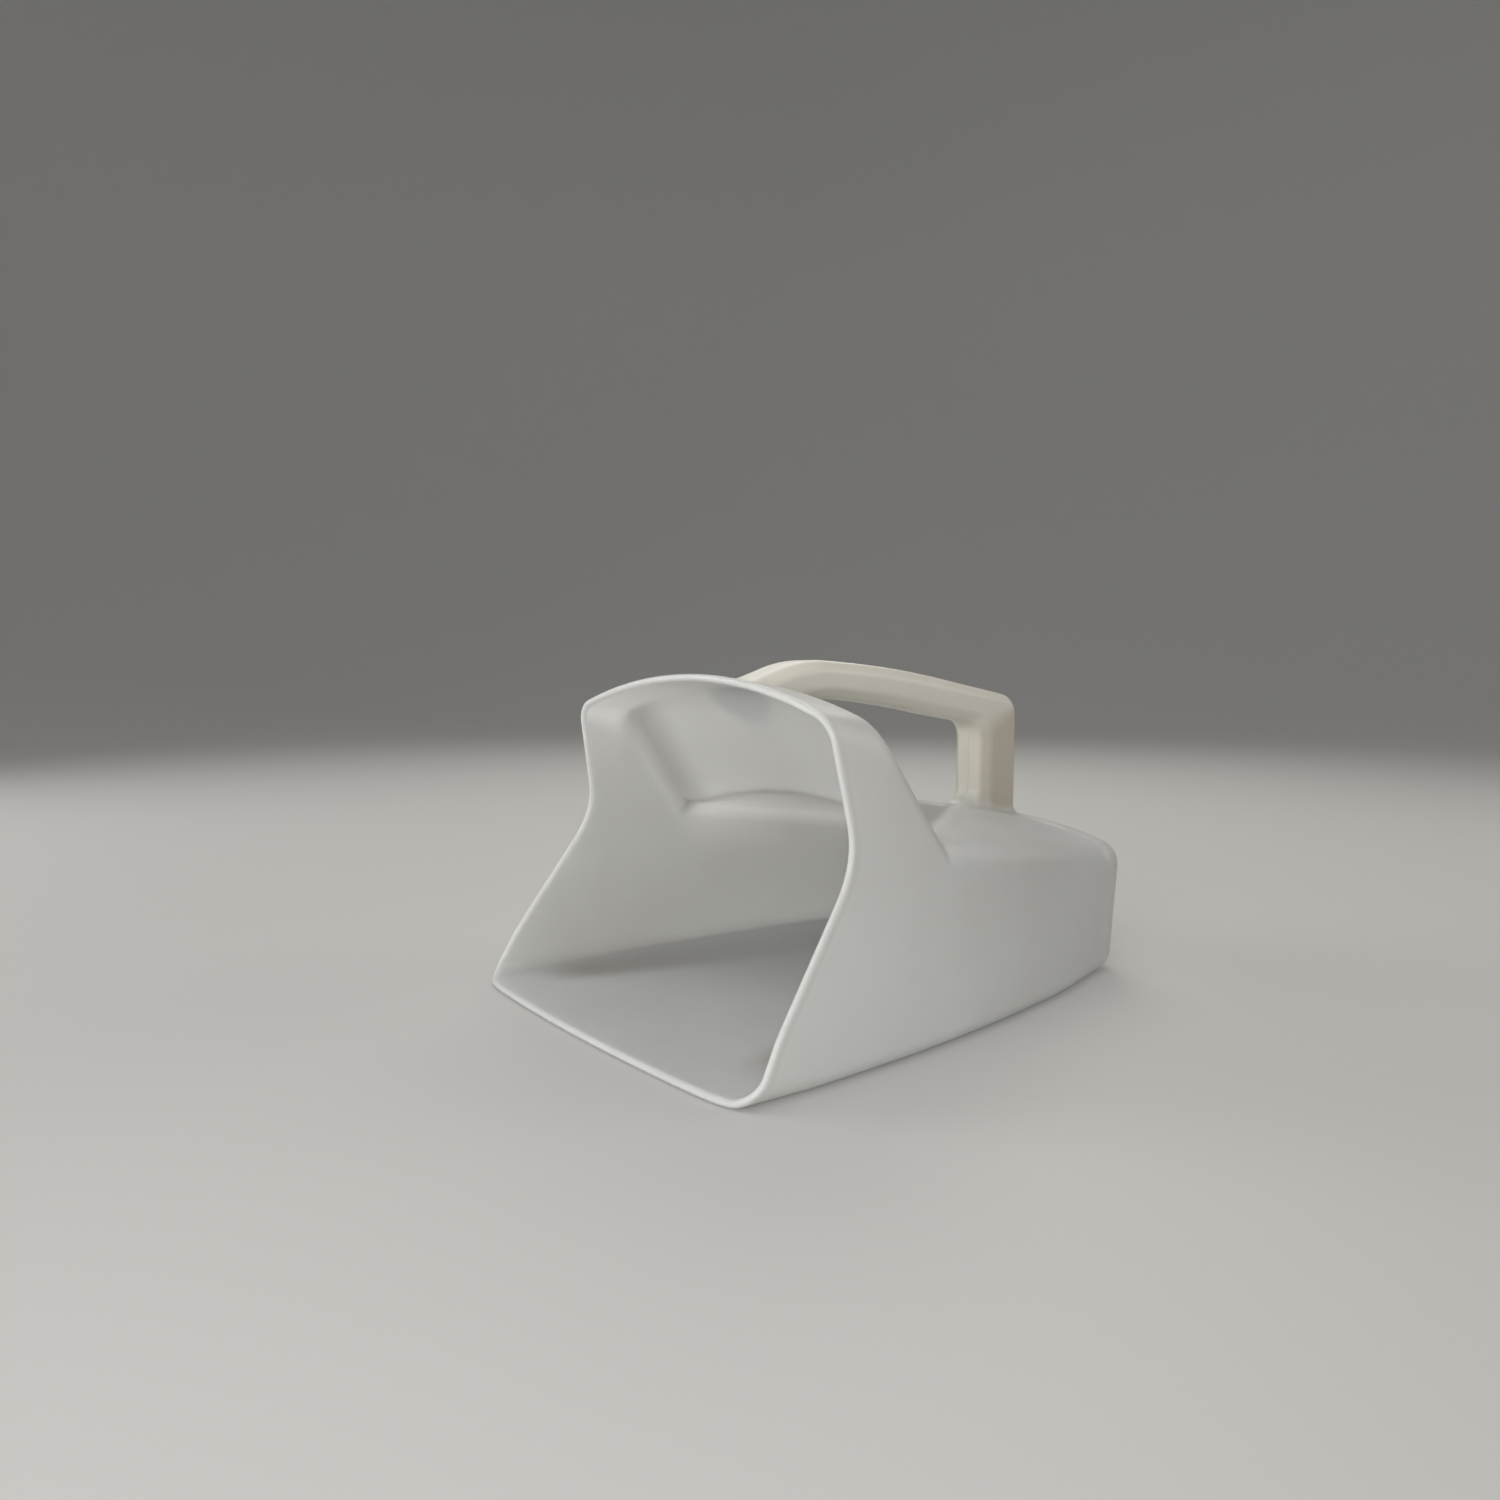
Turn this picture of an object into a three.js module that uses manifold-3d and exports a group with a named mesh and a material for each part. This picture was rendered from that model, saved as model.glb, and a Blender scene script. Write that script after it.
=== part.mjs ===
// Ice scoop: a hooded bowl with its mouth cut open at the front, and a loop handle of two hollow half shells.
// Millimetres. +Z is up, the mouth faces -Y, and the origin is on the floor under the middle of the bowl.
// A station is a distance along Y: the lip's tip is near station 0, and stations grow towards the back.
import * as THREE from 'three';
import { mergeVertices } from 'three/addons/utils/BufferGeometryUtils.js';
import Module from 'manifold-3d';

const wasm = await Module();
wasm.setup();

// ---- driving dimensions ---------------------------------------------------------------------------------
const wall = 2.5;                    // thickness of every moulded wall
const gap = 0.3;                     // left between pieces that touch

const originStation = 109;           // midway between the lip's tip and the rearmost point
const backStation = 220;             // the back wall's plane, before it leans
const mouthHalfWidth = 81.1;         // of the side walls' planes where they would meet the floor
const taperStart = 115;              // the plan narrows behind this station
const taperBlend = 70;
const taper = 0.21;                  // half-width lost per mm behind it
const mouthLean = 0.083;             // inward lean of the side walls, per mm of height
const backLean = 0.038;
const cornerRadius = 6.2;            // floor to side wall
const lipCornerRadius = 9;           // the same, where it ends at the lip
const lipCornerFade = 30;            // station where the lip's corner has become the body's
const shoulderRadius = 11;           // side wall to crown, at the rim and along the roof
const slopeShoulderRadius = 15.5;    // and on the hood's back slope
const shoulderFade = 12;             // length over which one shoulder turns into the other
const crownRadius = 208;             // arch of the hood and the roof, seen from the front

const hoodTop = 117.2;               // crest of the hood at its rim
const hoodRimStation = 44;
const hoodFall = 0.15;               // crest height lost per mm along the hood
const slopeFoot = { station: 90, height: 77.2 };     // where the hood's back slope meets the roof
const slopeFall = 1.40;              // about 54 degrees
const roofFall = 0.145;
const roofBow = 0.00031;             // the roof steepens towards the back
const hoodCornerBlend = 5;           // height over which the hood rounds into its slope
const slopeFootBlend = 1.5;

const lipBow = 3.9;                  // the lip's middle stands this far ahead of its corners
const rimTopBow = 5.4;               // the rim's top middle lies this far behind its corners
const lipSlant = 0.727;              // rim station gained per mm of height, from lip to waist
const waist = { station: 48.6, height: 62.8 };
const hoodSlant = -0.20;             // above the waist the rim leans forward again
const waistBlend = 10.4;
const lipCornerStart = 60;           // outside this half-width the lip's corners are trimmed back
const lipCornerTrim = 3;

const recessDepth = 1.8;             // knuckle recess in the roof, under the handle
const recessFront = { station: 90, halfWidth: 68 };
const recessBack = { station: 176, halfWidth: 6 };
const recessEdge = 5.6;              // width of its sloping side
const recessRounding = 4;            // rounds off the recess where its two sides meet

const backEdgeDepth = 19;            // length of the rounding between the walls and the back wall
const backEdgeSide = 12;             // how far that rounding comes in from the sides
const backEdgeTop = 5.5;             // and from the roof and the floor
const backWallLean = 0.19;           // the back wall leans out towards its top
const backWallLeanStart = 150;

const gripWidth = 19.6;              // handle across
const gripChamfer = 3.8;
const legFront = 188.4;              // stations of the handle's rear leg
const legBack = 210.7;
const gripCornerRadius = 8;
const footRadius = 10;               // fillet round the leg's foot
const footRearShare = 0.35;          // the fillet is smaller behind, where the roof ends
const footChamferShare = 0.45;       // and its corners grow slower than its sides

const bowlColour = 0xd9dbdb;
const handleColour = 0xdcd8cb;

// ---- small tools ----------------------------------------------------------------------------------------
const clamp01 = (t) => Math.min(Math.max(t, 0), 1);
const mix = (a, b, t) => a + (b - a) * t;
const smoothStep = (t) => clamp01(t) ** 2 * (3 - 2 * clamp01(t));

// The lower (or higher) of two values, rounded off where they are within blend of each other.
const softMin = (a, b, blend) => Math.min(a, b) - Math.max(blend - Math.abs(a - b), 0) ** 2 / (4 * blend);
const softMax = (a, b, blend) => -softMin(-a, -b, blend);

// ---- the bowl's shape -----------------------------------------------------------------------------------
// Height of the crest above the floor: the hood, its back slope, then the roof, which may be sunk.
function crestHeight(station, sink = 0) {
  const hood = hoodTop - hoodFall * (station - hoodRimStation);
  const slope = slopeFoot.height + slopeFall * (slopeFoot.station - station);
  const along = station - slopeFoot.station;
  const roof = slopeFoot.height - roofFall * along - roofBow * along ** 2;
  return softMax(softMin(hood, slope, hoodCornerBlend), roof - sink, slopeFootBlend);
}

// How far the recess sinks the roof. It narrows in a straight taper from the hood to the handle's leg.
function recessAt(x, station) {
  const along = (station - recessFront.station) / (recessBack.station - recessFront.station);
  const edge = mix(recessFront.halfWidth, recessBack.halfWidth, along);
  return recessDepth * smoothStep((edge - Math.hypot(x, recessRounding)) / recessEdge);
}

function halfWidth(station) {
  return mouthHalfWidth - taper * softMax(station - taperStart, 0, taperBlend);
}

function sideLean(station) {
  return mix(mouthLean, backLean, clamp01((station - hoodRimStation) / (backStation - hoodRimStation)));
}

// Station of the mouth's edge at a point of the rim.
function rimStation(x, z) {
  const lower = waist.station + lipSlant * (z - waist.height);
  const upper = waist.station + hoodSlant * (z - waist.height);
  const bow = mix(-lipBow, rimTopBow, z / hoodTop) * (1 - (x / mouthHalfWidth) ** 2);
  const outside = Math.max(Math.abs(x) - lipCornerStart, 0) / (mouthHalfWidth - lipCornerStart);
  const trim = lipCornerTrim * outside ** 2 * clamp01(1 - z / (2 * lipCornerRadius));
  return softMin(lower, upper, waistBlend) + bow + trim;
}

// A section of the bowl across Y, from the middle of the floor round one side to the crest.
// Each stretch is a line or an arc: floor, corner, side wall, shoulder, crown.
const stretchSteps = [3, 3, 6, 4, 10];
const halfSteps = stretchSteps.reduce((sum, steps) => sum + steps);

// The shoulder is rounder on the hood's back slope than on the rim and the roof.
function shoulderOf(station) {
  const ontoSlope = clamp01((station - hoodRimStation - 2) / shoulderFade);
  const offSlope = clamp01((slopeFoot.station + shoulderFade / 2 - station) / shoulderFade);
  return mix(shoulderRadius, slopeShoulderRadius, ontoSlope * offSlope);
}

function sectionPoint(station, step) {
  const radius = shoulderOf(station);
  const lean = sideLean(station);
  const slant = Math.hypot(1, lean);
  const width = halfWidth(station);
  const crownZ = crestHeight(station) - crownRadius;
  const cornerSize = mix(lipCornerRadius, cornerRadius, clamp01(station / lipCornerFade));
  const cornerX = width - cornerSize * (lean + slant);
  // The shoulder's centre lies its radius inside both the side wall and the crown.
  const shoulderLine = width - radius * slant;
  const reach = crownRadius - radius;
  const b = shoulderLine * lean + crownZ;
  const c = shoulderLine ** 2 + crownZ ** 2 - reach ** 2;
  const shoulderZ = (b + Math.sqrt(b ** 2 - slant ** 2 * c)) / slant ** 2;
  const shoulderX = shoulderLine - lean * shoulderZ;
  const wallAngle = Math.atan(lean);
  const crownAngle = Math.atan2(shoulderZ - crownZ, shoulderX);
  const arc = (x, z, size, from, to, t) => {
    const angle = mix(from, to, t);
    return [x + size * Math.cos(angle), z + size * Math.sin(angle)];
  };
  const corner = (t) => arc(cornerX, cornerSize, cornerSize, -Math.PI / 2, wallAngle, t);
  const shoulder = (t) => arc(shoulderX, shoulderZ, radius, wallAngle, crownAngle, t);
  const stretches = [
    (t) => [cornerX * t, 0],
    corner,
    (t) => [mix(corner(1)[0], shoulder(0)[0], t), mix(corner(1)[1], shoulder(0)[1], t)],
    shoulder,
    (t) => {
      const [x, z] = arc(0, crownZ, crownRadius, crownAngle, Math.PI / 2, t);
      return [x, z + crestHeight(station, recessAt(x, station)) - crestHeight(station)];
    },
  ];
  let index = 0;
  let left = step;
  while (index < stretches.length - 1 && left > stretchSteps[index]) {
    left -= stretchSteps[index];
    index += 1;
  }
  return stretches[index](left / stretchSteps[index]);
}

// A point of the whole section: steps run once round it, the second half mirroring the first.
const ringSteps = 2 * halfSteps;
function ringPoint(station, step) {
  const turn = ((step % ringSteps) + ringSteps) % ringSteps;
  const mirrored = turn > halfSteps;
  const [x, z] = sectionPoint(station, mirrored ? ringSteps - turn : turn);
  return [mirrored ? -x : x, z];
}

// The rows of the bowl run from its rim (0) to the middle of its back wall (1 + bodyRows + edgeRows + 1).
const frontRows = 3;
const frontEnd = 56;                 // rows behind this station are straight across
const bodyStations = [60, 64, 70, 80, 88, 90, 92, 94, 97, 106, 118, 130, 142, 154, 163, 170, 178, 190];
const edgeRows = 4;
const faceRows = 2;
const rowCount = frontRows + 1 + bodyStations.length + edgeRows + faceRows;

// Station where a line along the bowl reaches the rim, found by closing in on it.
function rimOf(step) {
  const passes = 30;
  const pull = 0.7;                  // share of the remaining distance gone in each pass
  let station = hoodRimStation;
  for (let pass = 0; pass < passes; pass += 1) {
    const [x, z] = ringPoint(station, step);
    station = mix(station, rimStation(x, z), pull);
  }
  return station;
}

// The outer surface, for a step round the section and a row along the bowl, both of which may be fractions.
function bowlPoint(step, row) {
  const edgeStart = frontRows + bodyStations.length + 1;
  const straightEnd = backStation - backEdgeDepth;
  const stations = [frontEnd, ...bodyStations, straightEnd];
  let station;
  let turned = 0;                    // angle gone round the back edge
  let spread = 1;                    // share of the back wall's size that is left
  if (row < frontRows) {
    station = mix(rimOf(step), frontEnd, row / frontRows);
  } else if (row < edgeStart) {
    const index = Math.floor(row - frontRows);
    station = mix(stations[index], stations[index + 1], row - frontRows - index);
  } else {
    turned = Math.PI / 2 * clamp01((row - edgeStart) / edgeRows);
    station = straightEnd + backEdgeDepth * Math.sin(turned);
    spread = 1 - clamp01((row - edgeStart - edgeRows) / faceRows);
  }
  const [x, z] = ringPoint(Math.min(station, straightEnd), step);
  const middle = crestHeight(straightEnd) / 2;
  const inset = 1 - Math.cos(turned);
  const scaleX = (1 - inset * backEdgeSide / halfWidth(straightEnd)) * spread;
  const scaleZ = (1 - inset * backEdgeTop / middle) * spread;
  const height = turned > 0 ? middle + (z - middle) * scaleZ : z;
  const leaning = smoothStep((station - backWallLeanStart) / (backStation - backWallLeanStart));
  const y = station - backWallLean * leaning * (2 * middle - Math.min(height, 2 * middle));
  return new THREE.Vector3(x * scaleX, y - originStation, height);
}

function bowlNormal(step, row) {
  const nudge = 0.02;
  const round = bowlPoint(step + nudge, row).sub(bowlPoint(step - nudge, row));
  const back = Math.min(row + nudge, rowCount - nudge);
  const along = bowlPoint(step, back).sub(bowlPoint(step, Math.max(back - 2 * nudge, 0)));
  return along.cross(round).normalize();
}

// One skin of the bowl, moved out by offset, as rows of points with a last single point.
function bowlSkin(offset) {
  const rows = [];
  for (let row = 0; row < rowCount; row += 1) {
    const ring = [];
    for (let step = 0; step < ringSteps; step += 1) {
      ring.push(bowlPoint(step, row).addScaledVector(bowlNormal(step, row), offset));
    }
    rows.push(ring);
  }
  const last = bowlPoint(0, rowCount);
  last.y += offset;
  rows.push([last]);
  return rows;
}

// ---- meshes from rings ----------------------------------------------------------------------------------
// A closed surface through rings of points. A ring of one point closes an end.
function loft(rings) {
  const positions = [];
  const starts = [];
  for (const ring of rings) {
    starts.push(positions.length / 3);
    ring.forEach((point) => positions.push(point.x, point.y, point.z));
  }
  const faces = [];
  for (let row = 0; row + 1 < rings.length; row += 1) {
    const here = rings[row].length;
    const next = rings[row + 1].length;
    const count = Math.max(here, next);
    for (let step = 0; step < count; step += 1) {
      const a = starts[row] + step % here;
      const b = starts[row] + (step + 1) % here;
      const c = starts[row + 1] + step % next;
      const d = starts[row + 1] + (step + 1) % next;
      if (here > 1) faces.push(a, b, c);
      if (next > 1) faces.push(b, d, c);
    }
  }
  const geometry = new THREE.BufferGeometry();
  geometry.setAttribute('position', new THREE.Float32BufferAttribute(positions, 3));
  geometry.setIndex(faces);
  return geometry;
}

function averageOf(ring) {
  return ring.reduce((sum, point) => sum.add(point), new THREE.Vector3()).divideScalar(ring.length);
}

function toSolid(geometry) {
  const bare = geometry.clone();
  bare.deleteAttribute('normal');
  bare.deleteAttribute('uv');
  const merged = mergeVertices(bare, 1e-4);
  const vertProperties = new Float32Array(merged.attributes.position.array);
  const triVerts = new Uint32Array(merged.index.array);
  return new wasm.Manifold(new wasm.Mesh({ numProp: 3, vertProperties, triVerts }));
}

function toGeometry(solid) {
  const mesh = solid.getMesh();
  const geometry = new THREE.BufferGeometry();
  geometry.setAttribute('position', new THREE.BufferAttribute(mesh.vertProperties.slice(), 3));
  geometry.setIndex(new THREE.BufferAttribute(mesh.triVerts.slice(), 1));
  geometry.computeVertexNormals();
  return geometry;
}

// ---- bowl -----------------------------------------------------------------------------------------------
function bowlGeometry() {
  const outside = bowlSkin(0).reverse();
  const inside = bowlSkin(-wall);
  return loft([...outside, ...inside]);
}

// The bowl's outline filled in and grown by the gap, which shapes the feet of the handle.
function bowlBlock() {
  const skin = bowlSkin(gap).reverse();
  return toSolid(loft([...skin, [averageOf(skin[skin.length - 1])]]));
}

// ---- handle ---------------------------------------------------------------------------------------------
// Side view of the handle, as a shape whose x is the station and y the height. Its ends run into the bowl.
function handleOutline() {
  const shape = new THREE.Shape();
  const legFoot = 40;
  shape.moveTo(54, 100);
  shape.lineTo(54, 111.1);
  shape.lineTo(78, 118.9);
  shape.quadraticCurveTo(87, 121.9, 97, 122);
  shape.quadraticCurveTo(132, 120.5, 168, 114);
  shape.lineTo(legBack - gripCornerRadius, 108);
  shape.quadraticCurveTo(legBack, 106.6, legBack, 106.6 - gripCornerRadius);
  shape.lineTo(legBack, legFoot);
  shape.lineTo(legFront, legFoot);
  shape.lineTo(legFront, 97 - gripCornerRadius);
  shape.quadraticCurveTo(legFront, 96, legFront - gripCornerRadius, 97.2);
  shape.lineTo(161, 100.1);
  shape.quadraticCurveTo(130, 106, 104, 107.8);
  shape.quadraticCurveTo(88, 108.6, 76, 103);
  shape.closePath();
  return shape;
}

// The outline as a bar with chamfered edges, its section shrunk all round by inset.
function gripSolid(inset, chamfer) {
  const depth = gripWidth - 2 * inset - 2 * chamfer;
  const bar = new THREE.ExtrudeGeometry(handleOutline(), {
    depth,
    curveSegments: 6,
    bevelEnabled: true,
    bevelSegments: 1,
    bevelThickness: chamfer,
    bevelSize: chamfer,
    bevelOffset: -chamfer - inset,
  });
  bar.translate(0, 0, -depth / 2);
  const sideways = new THREE.Matrix4().makeBasis(
    new THREE.Vector3(0, 1, 0),
    new THREE.Vector3(0, 0, 1),
    new THREE.Vector3(1, 0, 0),
  );
  bar.applyMatrix4(sideways);
  bar.translate(0, -originStation, 0);
  return toSolid(bar);
}

// Outline of the leg in plan, grown by a distance: an octagon, with less growth behind.
function legRing(growth, height) {
  const half = gripWidth / 2 + growth;
  const front = legFront - growth;
  const back = legBack + growth * footRearShare;
  const cut = gripChamfer + growth * footChamferShare;
  const corners = [
    [half - cut, front], [-half + cut, front], [-half, front + cut], [-half, back - cut],
    [-half + cut, back], [half - cut, back], [half, back - cut], [half, front + cut],
  ];
  return corners.map(([x, station]) => {
    const roof = crestHeight(station) - x ** 2 / (2 * crownRadius);
    return new THREE.Vector3(x, station - originStation, roof + height);
  });
}

// The fillet that spreads the leg's foot over the roof.
function footFlare() {
  const steps = 4;
  const tuck = 0.3;                  // the fillet starts this far inside the leg
  const capInset = 1;                // its hidden top narrows and closes inside the leg
  const capRise = 2;
  const sunk = 3;                    // and its bottom ends below the roof, to be cut off by it
  const lastAngle = 0.7 * Math.PI / 2;
  const growth = (angle) => footRadius * (1 - Math.cos(angle)) - tuck;
  const rings = [legRing(-capInset, footRadius + capRise)];
  for (let step = 0; step <= steps; step += 1) {
    const angle = lastAngle * step / steps;
    rings.push(legRing(growth(angle), footRadius * (1 - Math.sin(angle))));
  }
  const foot = legRing(growth(lastAngle), -sunk);
  rings.push(foot);
  return toSolid(loft([[averageOf(rings[0])], ...rings, [averageOf(foot)]]));
}

function boxSolid(width, depth, height, x, y, z) {
  const box = new THREE.BoxGeometry(width, depth, height);
  box.translate(x, y, z);
  return toSolid(box);
}

// The right half of the handle, from the middle plane outwards.
function rightShellGeometry() {
  const size = 2 * backStation;      // reaches past every side of the handle
  const rightSide = boxSolid(size, size, size, (size + gap) / 2, 0, 0);
  const outside = gripSolid(0, gripChamfer).add(footFlare());
  const hollow = gripSolid(wall, gripChamfer - wall * (2 - Math.SQRT2));
  return toGeometry(outside.subtract(hollow).subtract(bowlBlock()).intersect(rightSide));
}

// The same piece for the other side of the middle plane, its faces turned to point out again.
function mirrored(geometry) {
  const copy = geometry.clone();
  copy.scale(-1, 1, 1);
  const corners = copy.index.array;
  for (let face = 0; face < corners.length; face += 3) {
    [corners[face], corners[face + 1]] = [corners[face + 1], corners[face]];
  }
  copy.computeVertexNormals();
  return copy;
}

// ---- the scoop ------------------------------------------------------------------------------------------
const scoop = new THREE.Group();

function addPiece(name, geometry, colour) {
  const material = new THREE.MeshStandardMaterial({ color: colour, roughness: 0.45, metalness: 0 });
  const mesh = new THREE.Mesh(geometry, material);
  mesh.name = name;
  scoop.add(mesh);
}

addPiece('bowl', bowlGeometry(), bowlColour);
const rightShell = rightShellGeometry();
addPiece('handle_right_shell', rightShell, handleColour);
addPiece('handle_left_shell', mirrored(rightShell), handleColour);

export default scoop;
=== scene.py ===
# The looks of the ice scoop: the bowl and the two handle shells as fine moulded surfaces, in two plastics.
# Shapes are worked out in millimetres with the CAD model's own formulas, on a much finer grid.
# A station is a distance along Y: the lip's tip is near station 0, and stations grow towards the back.
import math

import bpy
import numpy as np
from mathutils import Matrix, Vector


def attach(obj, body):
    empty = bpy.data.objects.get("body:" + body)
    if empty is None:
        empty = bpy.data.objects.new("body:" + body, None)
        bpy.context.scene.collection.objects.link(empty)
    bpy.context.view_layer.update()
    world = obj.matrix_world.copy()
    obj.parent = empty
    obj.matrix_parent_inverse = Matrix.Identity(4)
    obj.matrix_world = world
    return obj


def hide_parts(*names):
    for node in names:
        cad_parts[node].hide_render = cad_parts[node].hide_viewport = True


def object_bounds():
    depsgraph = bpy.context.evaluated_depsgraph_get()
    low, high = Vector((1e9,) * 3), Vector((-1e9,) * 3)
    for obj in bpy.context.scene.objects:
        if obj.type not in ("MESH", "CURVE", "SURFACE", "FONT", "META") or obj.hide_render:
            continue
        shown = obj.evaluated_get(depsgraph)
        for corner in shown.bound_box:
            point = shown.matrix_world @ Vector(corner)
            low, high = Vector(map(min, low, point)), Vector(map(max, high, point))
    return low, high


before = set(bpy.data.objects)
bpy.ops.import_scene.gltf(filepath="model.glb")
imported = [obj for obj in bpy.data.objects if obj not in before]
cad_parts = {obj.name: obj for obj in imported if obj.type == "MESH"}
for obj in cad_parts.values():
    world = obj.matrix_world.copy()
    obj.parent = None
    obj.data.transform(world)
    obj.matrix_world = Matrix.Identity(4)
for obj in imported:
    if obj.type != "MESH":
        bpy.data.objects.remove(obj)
cad_low, cad_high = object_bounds()
MM = 0.001

# ---- driving dimensions, in millimetres. Falls, leans, slants and TAPER are slopes. -----------------
WALL = 2.5
ORIGIN_STATION = 109.0
BACK_STATION = 220.0

# The bowl's sides and the corners of its sections
MOUTH_HALF_WIDTH = 81.1
TAPER_START, TAPER_BLEND, TAPER = 115.0, 70.0, 0.21
MOUTH_LEAN, BACK_LEAN = 0.083, 0.038
CORNER_RADIUS, LIP_CORNER_RADIUS, LIP_CORNER_FADE = 6.2, 9.0, 30.0
CROWN_RADIUS = 208.0

# The crest's line from the hood down its back slope and along the roof
HOOD_TOP, HOOD_RIM_STATION, HOOD_FALL = 117.2, 44.0, 0.15
SLOPE_FOOT_STATION, SLOPE_FOOT_HEIGHT, SLOPE_FALL = 90.0, 77.2, 1.40
ROOF_FALL, ROOF_BOW = 0.145, 0.00031
HOOD_CORNER_BLEND, SLOPE_FOOT_BLEND = 5.0, 1.5
SHOULDER_RADIUS, SLOPE_SHOULDER_RADIUS = 11.0, 15.5
SHOULDER_START, SHOULDER_FADE = HOOD_RIM_STATION + 2.0, 12.0

# The mouth's edge, which leans back from the lip to the waist and forward from there to the hood's top
LIP_BOW, RIM_TOP_BOW, LIP_SLANT = 3.9, 5.4, 0.727
WAIST_STATION, WAIST_HEIGHT, WAIST_BLEND = 48.6, 62.8, 10.4
HOOD_SLANT = -0.20
LIP_CORNER_START, LIP_CORNER_TRIM = 60.0, 3.0

# The knuckle recess, a shallow triangle in the roof under the handle
RECESS_DEPTH, RECESS_EDGE, RECESS_ROUNDING = 1.8, 5.6, 4.0
RECESS_FRONT_STATION, RECESS_FRONT_HALF = 90.0, 68.0
RECESS_BACK_STATION, RECESS_BACK_HALF = 176.0, 6.0

# The back wall and its rounded edge
BACK_EDGE_DEPTH, BACK_EDGE_SIDE, BACK_EDGE_TOP = 19.0, 12.0, 5.5
BACK_WALL_LEAN, BACK_WALL_LEAN_START = 0.19, 150.0
STRAIGHT_END = BACK_STATION - BACK_EDGE_DEPTH

# The handle's section, its seam, and the fillets of its feet
GRIP_WIDTH, GRIP_CHAMFER = 19.6, 3.8
GRIP_EDGE_ROUNDING = 1.5
SEAM_HALF_GAP, SEAM_GROOVE, SEAM_ROUNDING = 0.02, 0.09, 0.08
FOOT_FRONT_RADIUS, FOOT_SIDE_RADIUS, FOOT_REAR_RADIUS = 9.0, 4.0, 3.0
HOOD_JOINT_RADIUS, HOOD_JOINT_UNDER_RADIUS = 6.5, 1.2

# The handle's upper and lower edges seen from the side, as matching stretches of (start, control, end)
# points. A straight stretch has no control point.
UPPER_EDGE = [
    ((54, 111.1), None, (78, 118.9)),
    ((78, 118.9), (87, 121.9), (97, 122)),
    ((97, 122), (132, 120.5), (168, 114)),
    ((168, 114), None, (202.7, 108)),
    ((202.7, 108), (210.7, 106.6), (210.7, 98.6)),
    ((210.7, 98.6), None, (210.7, 40)),
]
LOWER_EDGE = [
    ((54, 100), None, (76, 103)),
    ((76, 103), (88, 108.6), (104, 107.8)),
    ((104, 107.8), (130, 106), (161, 100.1)),
    ((161, 100.1), None, (180.4, 97.2)),
    ((180.4, 97.2), (188.4, 96), (188.4, 89)),
    ((188.4, 89), None, (188.4, 40)),
]


# ---- small tools ------------------------------------------------------------------------------------
def mix(a, b, t):
    return a + (b - a) * t


def smooth_step(t):
    t = np.clip(t, 0, 1)
    return t * t * (3 - 2 * t)


def soft_min(a, b, blend):
    """The lower of two values, rounded off where they are within blend of each other."""
    return np.minimum(a, b) - np.maximum(blend - np.abs(a - b), 0) ** 2 / (4 * blend)


def soft_max(a, b, blend):
    return -soft_min(-a, -b, blend)


def unit(vectors):
    return vectors / np.maximum(np.linalg.norm(vectors, axis=-1, keepdims=True), 1e-12)


# ---- the bowl's shape -------------------------------------------------------------------------------
def crest_height(station, sink=0.0):
    """Height of the crest: the hood, its back slope, then the roof, which may be sunk."""
    hood = HOOD_TOP - HOOD_FALL * (station - HOOD_RIM_STATION)
    slope = SLOPE_FOOT_HEIGHT + SLOPE_FALL * (SLOPE_FOOT_STATION - station)
    along = station - SLOPE_FOOT_STATION
    roof = SLOPE_FOOT_HEIGHT - ROOF_FALL * along - ROOF_BOW * along**2
    return soft_max(soft_min(hood, slope, HOOD_CORNER_BLEND), roof - sink, SLOPE_FOOT_BLEND)


def recess_edge_at(station):
    """Half width of the knuckle recess, which narrows from the hood to the handle's leg."""
    along = (station - RECESS_FRONT_STATION) / (RECESS_BACK_STATION - RECESS_FRONT_STATION)
    return mix(RECESS_FRONT_HALF, RECESS_BACK_HALF, along)


def recess_at(x, station):
    """How far the knuckle recess sinks the roof."""
    inside = recess_edge_at(station) - np.hypot(x, RECESS_ROUNDING)
    return RECESS_DEPTH * smooth_step(inside / RECESS_EDGE)


def half_width(station):
    return MOUTH_HALF_WIDTH - TAPER * soft_max(station - TAPER_START, 0, TAPER_BLEND)


def side_lean(station):
    share = (station - HOOD_RIM_STATION) / (BACK_STATION - HOOD_RIM_STATION)
    return mix(MOUTH_LEAN, BACK_LEAN, np.clip(share, 0, 1))


def rim_station(x, z):
    """Station of the mouth's edge at a point of the rim."""
    lower = WAIST_STATION + LIP_SLANT * (z - WAIST_HEIGHT)
    upper = WAIST_STATION + HOOD_SLANT * (z - WAIST_HEIGHT)
    bow = mix(-LIP_BOW, RIM_TOP_BOW, z / HOOD_TOP) * (1 - (x / MOUTH_HALF_WIDTH) ** 2)
    outside = np.maximum(np.abs(x) - LIP_CORNER_START, 0) / (MOUTH_HALF_WIDTH - LIP_CORNER_START)
    trim = LIP_CORNER_TRIM * outside**2 * np.clip(1 - z / (2 * LIP_CORNER_RADIUS), 0, 1)
    return soft_min(lower, upper, WAIST_BLEND) + bow + trim


def shoulder_of(station):
    onto_slope = np.clip((station - SHOULDER_START) / SHOULDER_FADE, 0, 1)
    off_slope = np.clip((SLOPE_FOOT_STATION + SHOULDER_FADE / 2 - station) / SHOULDER_FADE, 0, 1)
    return mix(SHOULDER_RADIUS, SLOPE_SHOULDER_RADIUS, onto_slope * off_slope)


def arc(x, z, size, start, end, t):
    angle = mix(start, end, t)
    return x + size * np.cos(angle), z + size * np.sin(angle)


STRETCHES = 5  # floor, corner, side wall, shoulder, crown
CORNER_TURN, CROWN_TURN = 1, 4  # where the corner and the crown begin


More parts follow.
